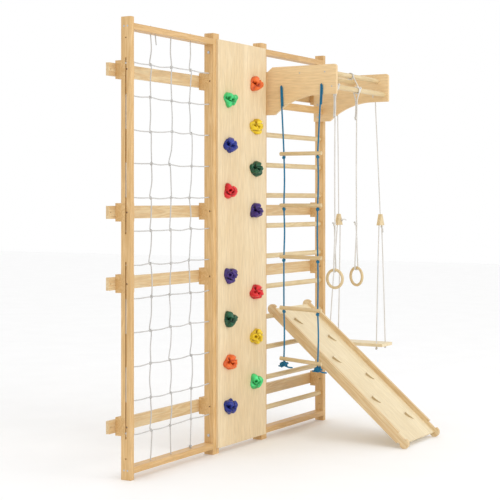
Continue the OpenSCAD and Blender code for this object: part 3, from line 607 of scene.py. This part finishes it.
# swing ropes: one rope down to each adjuster, two strands below it
swing = {
    "x": plateR[1].x + 0.004, "radius": 0.0035, "lay": 0.015, "split": 1.18, "seat": 0.472,
    "top": (0.095, 0.345), "mid": (0.103, 0.377), "low": (0.070, 0.380), "eyeOut": 0.019, "seatOut": 0.06,
    "seatKnot": 0.0052, "blockKnot": 0.0056, "knotCord": 0.0034, "step": 0.002,
}
swingKnots = Bundle()
for side in (0, 1):
    n0, n1, n2 = swing["top"][side], swing["mid"][side], swing["low"][side]
    where = "rear" if side == 0 else "front"
    exitAt = Vector((swing["x"], frontY - n0, ropeHoleZ))
    line = [exitAt, Vector((swing["x"], frontY - n0, ropeHoleZ - 0.06)),
            Vector((swing["x"] + 0.002, frontY - (n0 + n1) / 2, 1.55)),
            Vector((swing["x"], frontY - n1, swing["split"] + 0.04))]
    rope, path = ropePiece(f"swing_rope_{where}_laid", line,
                           swing["radius"], swing["lay"], whiteRope, "swing")
    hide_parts(f"swing_rope_{where}")
    for k in (-1, 1):
        start = Vector((swing["x"] + swing["eyeOut"] * k, frontY - n1, swing["split"] + 0.012))
        foot = Vector((swing["x"] + swing["seatOut"] * k, frontY - n2, swing["seat"] + 0.02))
        line = [start, start - Vector((0, 0, 0.02)), (start + foot) / 2 + Vector((0.002 * k, 0, 0)),
                foot, foot - Vector((0, 0, 0.038))]
        strand, path = ropePiece(f"swing_strand_{where}_{'left' if k < 0 else 'right'}", line,
                                 swing["radius"], swing["lay"], whiteRope, "swing")
        at = (foot.x, foot.y, swing["seat"] - 0.0105)
        swingKnots.knot(at, swing["seatKnot"], swing["knotCord"], (0.1, 0.2, 1), k, 1.0)
    # the rope comes through the block's apex and is knotted, with a short tail
    if side == 0:
        at = Vector((swing["x"] + 0.016, frontY - n1 - 0.0135, swing["split"] + 0.03))
        tail = [at, at + Vector((0.012, -0.004, 0.003)), at + Vector((0.032, -0.006, 0.002)),
                at + Vector((0.046, -0.004, -0.002))]
    else:
        at = Vector((swing["x"] + 0.020, frontY - n1, swing["split"] - 0.008))
        tail = [at, at + Vector((0.004, -0.004, -0.014)), at + Vector((0.003, -0.006, -0.034))]
    swingKnots.knot(at, swing["blockKnot"], swing["knotCord"], (0, -1, 0.3), side)
    swingKnots.add(resample(tail, swing["step"]), swing["knotCord"], swing["lay"])
swingKnotPiece = swingKnots.done("swing_knots_tied", whiteRope, "swing")
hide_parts("swing_knots")
print("swing hung")

# rings: a cord goes over the front dowel, is knotted below it and again above the ring
dowel = {"n": 0.408, "z": plateL[1].z - 0.121, "radius": 0.014}
ring = {
    "x": (barsX + 0.065, barsX + 0.332), "z": 0.9, "turn": (math.radians(-5), math.radians(-23)),
    "tube": 0.00775, "centre": 0.04875, "cord": 0.004, "lay": 0.013, "step": 0.002,
    "upper": 1.790, "lower": 1.193, "apart": 0.0042, "knotCord": 0.0036,
}
for k in (0, 1):
    side = "left" if k == 0 else "right"
    x = ring["x"][k]
    y = frontY - dowel["n"]
    upper, lower, apart = ring["upper"], ring["lower"], ring["apart"]
    top = dowel["z"]
    over = dowel["radius"] + 0.0038
    line = [Vector((x + 0.003, y + 0.0085, upper - 0.012)), Vector((x, y + apart, upper + 0.04)),
            Vector((x, y + apart, top - 0.06)), Vector((x, y + over - 0.002, top - 0.016))]
    for a in range(0, 181, 20):
        t = math.radians(a)
        line.append(Vector((x, y + over * math.cos(t), top + over * math.sin(t))))
    line += [Vector((x, y - over + 0.002, top - 0.016)), Vector((x, y - apart, top - 0.06)),
             Vector((x, y - apart, upper + 0.04)), Vector((x, y - 0.002, upper)),
             Vector((x, y, 1.5)), Vector((x, y - 0.001, lower + 0.02)), Vector((x, y - 0.003, lower))]
    eye = ring["tube"] + 0.0036
    tubeZ = ring["z"] + ring["centre"]
    out = Vector((math.cos(ring["turn"][k]), math.sin(ring["turn"][k]), 0))
    line.append(Vector((x, y, tubeZ + 0.07)) - out * 0.0075)
    for a in range(180, 361, 30):
        t = math.radians(a)
        line.append(Vector((x, y, tubeZ)) + out * (eye * math.cos(t)) + Vector((0, 0, eye * math.sin(t))))
    line += [Vector((x, y, tubeZ + 0.07)) + out * 0.0075,
             Vector((x, y, lower - 0.03)) + out * 0.005 + Vector((0, 0.004, 0)),
             Vector((x, y + 0.006, lower + 0.006)) + out * 0.004]
    cordPiece, path = ropePiece(f"ring_cord_{side}_laid", line, ring["cord"], ring["lay"], whiteRope,
                                f"{side}_ring")
    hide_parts(f"ring_{side}_cord")
    tied = Bundle()
    tied.knot((x + 0.001, y + 0.003, upper), 0.0062, ring["knotCord"], (0.2, 0.3, 1), k, 1.2)
    tied.knot((x, y + 0.002, lower), 0.0055, ring["knotCord"], (0.3, -0.2, 1), k + 2, 1.2)
    tail = [Vector((x, y + 0.006, lower)), Vector((x + 0.004, y + 0.012, lower + 0.012)),
            Vector((x + 0.006, y + 0.018, lower + 0.008))]
    tied.add(resample(tail, ring["step"]), ring["cord"], ring["lay"])
    tiedPiece = tied.done(f"ring_knots_{side}", whiteRope, f"{side}_ring")

# fixed ropes from the upper dowel to the front one
hanger = {
    "aside": 0.008, "n": 0.365, "down": 0.04, "loop": 0.0176, "wrap": 0.0075,
    "cord": 0.0034, "lay": 0.013, "knot": 0.0048,
}
hangers = Bundle()
for x in ring["x"]:
    x += hanger["aside"]
    ya, za = frontY - hanger["n"], plateL[1].z - hanger["down"]
    yc, zc = frontY - dowel["n"], dowel["z"]
    for y, z in ((ya, za), (yc, zc)):
        for shift in (0.0, hanger["wrap"]):
            loop = [Vector((x + shift, y + hanger["loop"] * math.cos(t), z + hanger["loop"] * math.sin(t)))
                    for t in np.linspace(0, 2 * math.pi, 50, endpoint=False)]
            hangers.add(loop, hanger["cord"], hanger["lay"], 9, True)
    strand = [Vector((x, ya - hanger["loop"], za)), Vector((x, yc - hanger["loop"], zc))]
    hangers.add(resample(strand, ring["step"]), hanger["cord"], hanger["lay"], 9)
    hangers.knot((x + 0.004, yc - 0.019, zc + 0.012), hanger["knot"], hanger["cord"], (0, -1, 0.4), 0.5)
hangerPiece = hangers.done("ring_hangers_laid", whiteRope, "frame")
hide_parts("ring_hangers")
print("rings hung")

# stop knots on the plates' inner faces
stop = {"lay": 0.017, "step": 0.002, "knot": 0.0062, "plate": 0.018}
sides = (("left", plateL[1].x, 1, 0.004, blueRope), ("right", plateR[0].x, -1, 0.0035, whiteRope))
for plateName, faceX, sign, radius, mat in sides:
    stops = Bundle()
    for n in ladder["top"]:
        y = frontY - n
        hole = [Vector((faceX - sign * stop["plate"], y, ropeHoleZ)),
                Vector((faceX + sign * 0.008, y, ropeHoleZ))]
        stops.add(resample(hole, stop["step"]), radius, stop["lay"])
        stops.knot((faceX + sign * 0.0095, y, ropeHoleZ), stop["knot"], radius, (1, 0.1, 0.1), n * 9, 1.0)
        tail = [Vector((faceX + sign * 0.012, y, ropeHoleZ)),
                Vector((faceX + sign * 0.02, y - 0.003, ropeHoleZ - 0.012)),
                Vector((faceX + sign * 0.021, y - 0.004, ropeHoleZ - 0.032))]
        stops.add(resample(tail, stop["step"]), radius * 0.95, stop["lay"])
    stopPiece = stops.done(f"rope_stops_{plateName}", mat, "frame")
    if sign > 0:
        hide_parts("rope_stops")
print("stop knots tied")

# climbing holds: colours, and column and height above the middle of each
holdColours = {
    "light_green": (0.065, 0.72, 0.22),
    "blue": (0.008, 0.026, 0.30),
    "red": (0.80, 0.014, 0.022),
    "purple": (0.045, 0.012, 0.19),
    "dark_green": (0.002, 0.095, 0.038),
    "orange": (1.0, 0.16, 0.018),
    "yellow": (1.0, 0.64, 0.006),
}
holdAt = {
    "light_green": [(0, 0.762), (1, -0.762)],
    "blue": [(0, 0.519), (0, -0.862)],
    "red": [(0, 0.276), (1, -0.276)],
    "purple": [(0, -0.169), (1, 0.169)],
    "dark_green": [(0, -0.4), (1, 0.4)],
    "orange": [(0, -0.631), (1, 0.862)],
    "yellow": [(1, 0.631), (1, -0.519)],
}
hold = {
    "reach": 0.040, "wide": 1.20, "deep": 0.046, "crease": 0.015, "pit": 0.017,
    "board": 0.012, "sink": 0.0002,
    "columns": (-0.144, 0.126),
    "petals": ((3, 2.6, 1.0), (2, -2.0, 0.55)),
    "pits": (((-0.80, 0.12, 0.58), 0.21), ((-0.30, -0.16, 0.94), 0.24), ((0.30, 0.10, 0.95), 0.13)),
}
columns = [(boardX + barsX) / 2 + x for x in hold["columns"]]
boardFace = frontY - hold["board"]


# a rose-like lump: rolled petals that wind round two finger pits and a sunk bolt, with painted shade kept
# in a colour layer for the creases, the pits and round the base
def holdMesh(bm, shade, at, spin, seed):
    made = bmesh.ops.create_icosphere(bm, subdivisions=5, radius=1.0)
    shift = Vector((seed * 3.7, seed * 1.9, seed * 5.3))
    pits = [(Vector(toward), size) for toward, size in hold["pits"]]
    for v in made["verts"]:
        p = v.co.copy()
        a = math.atan2(p.y, p.x)
        flat = math.hypot(p.x, p.y)
        reach = hold["reach"] * (1 + 0.12 * math.cos(3 * (a + spin) - 0.6) + 0.05 * math.cos(5 * a + seed))
        body = Vector((p.x * reach * hold["wide"], p.y * reach, hold["deep"] * max(p.z, 0.0) ** 0.85))
        # dark: painted shade, strongest in the creases and pits and round the base
        dark = 0.0
        if p.z > 0:
            crease = 0.0
            for petals, coil, depth in hold["petals"]:  # creases between the petals
                edge = abs(math.cos(petals / 2 * (a + spin + coil * flat) + seed))
                crease = max(crease, depth * math.exp(-(edge / 0.30) ** 2))
            crease *= min(1.0, flat * 2.2) * min(1.0, p.z * 4.5)
            body -= p * (hold["crease"] * crease)
            dark = min(1.0, 1.15 * crease ** 1.2)
            body.z += 0.005 * math.cos(3 * (a + spin) + 2 * seed) * flat
            for toward, size in pits:
                near = (p - toward).length / size
                rim = 0.16 * math.exp(-((near - 1.5) / 0.4) ** 2)
                sunk = math.exp(-near ** 3)
                body += p * (hold["pit"] * (rim - sunk))
                dark = max(dark * min(1.0, near / 1.4), sunk)
            # painted shade on the flank next to the board
            dark = max(dark, 0.4 * math.exp(-(p.z / 0.3) ** 2))
            body += p * (0.0030 * noise.noise(body * 46 + shift) + 0.0007 * noise.noise(body * 190 + shift))
        body.z = max(body.z, 0.0)
        v.co = Vector((at[0] + body.x, at[1] - body.z, at[2] + body.y))
        v[shade] = (dark, dark, dark, 1.0)


for colour, rgb in holdColours.items():
    bm = bmesh.new()
    # colour layer that holds the painted shade of the holds
    shade = bm.verts.layers.float_color.new("paintedShade")
    for k, (col, dz) in enumerate(holdAt[colour]):
        at = (columns[col], boardFace - hold["sink"], midZ + dz)
        holdMesh(bm, shade, at, rng.uniform(0, 2.1), rng.uniform(0, 6))
    bmesh.ops.recalc_face_normals(bm, faces=bm.faces)
    mesh = bpy.data.meshes.new(f"holds_{colour}_cast")
    bm.to_mesh(mesh)
    bm.free()
    mesh.materials.append(resinMat(f"resin_{colour}", rgb))
    mesh.polygons.foreach_set("use_smooth", [True] * len(mesh.polygons))
    o = bpy.data.objects.new(f"holds_{colour}_cast", mesh)
    bpy.context.scene.collection.objects.link(o)
    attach(o, "frame")
    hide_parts(f"holds_{colour}")
print("holds cast")

# pale floor and soft studio light
floorMat, floorTree, floorShader = newMat("paleFloor")
coord = addNode(floorTree, "ShaderNodeTexCoord")
dust = addNode(floorTree, "ShaderNodeTexNoise", Scale=3.0, Detail=2.0)
floorTree.links.new(coord.outputs["Object"], dust.inputs["Vector"])
tint = ramp(floorTree, dust.outputs["Fac"], [(0.3, grey(0.955)), (0.7, grey(0.975))])
floorTree.links.new(tint, floorShader.inputs["Base Color"])
floorShader.inputs["Roughness"].default_value = 0.7
studio = {"floor": 40, "below": 0.0005, "white": 1.0, "aim": (0.1, 0, 1.0)}
bpy.ops.mesh.primitive_plane_add(size=studio["floor"], location=(0, 0, -studio["below"]))
floor = bpy.context.object
floor.name = "studio_floor"
floor.data.materials.append(floorMat)

world = bpy.data.worlds.new("studio")
world.use_nodes = True
background = world.node_tree.nodes["Background"]
background.inputs["Color"].default_value = (1.0, 1.0, 1.0, 1)
background.inputs["Strength"].default_value = studio["white"]
bpy.context.scene.world = world

lights = {
    "keySoft": {"at": (-0.5, -6.0, 3.6), "size": 3.0, "power": 90, "tint": (1.0, 0.99, 0.97)},
    "fillSoft": {"at": (-6.0, -1.5, 3.0), "size": 3.0, "power": 12, "tint": (1.0, 0.97, 0.93)},
}
for name, spec in lights.items():
    lamp = bpy.data.lights.new(name, "AREA")
    lamp.energy = spec["power"]
    lamp.size = spec["size"]
    lamp.color = spec["tint"]
    o = bpy.data.objects.new(name, lamp)
    o.location = spec["at"]
    aim = Vector(studio["aim"]) - Vector(spec["at"])
    o.rotation_euler = aim.to_track_quat("-Z", "Y").to_euler()
    bpy.context.scene.collection.objects.link(o)
print("stage lit")
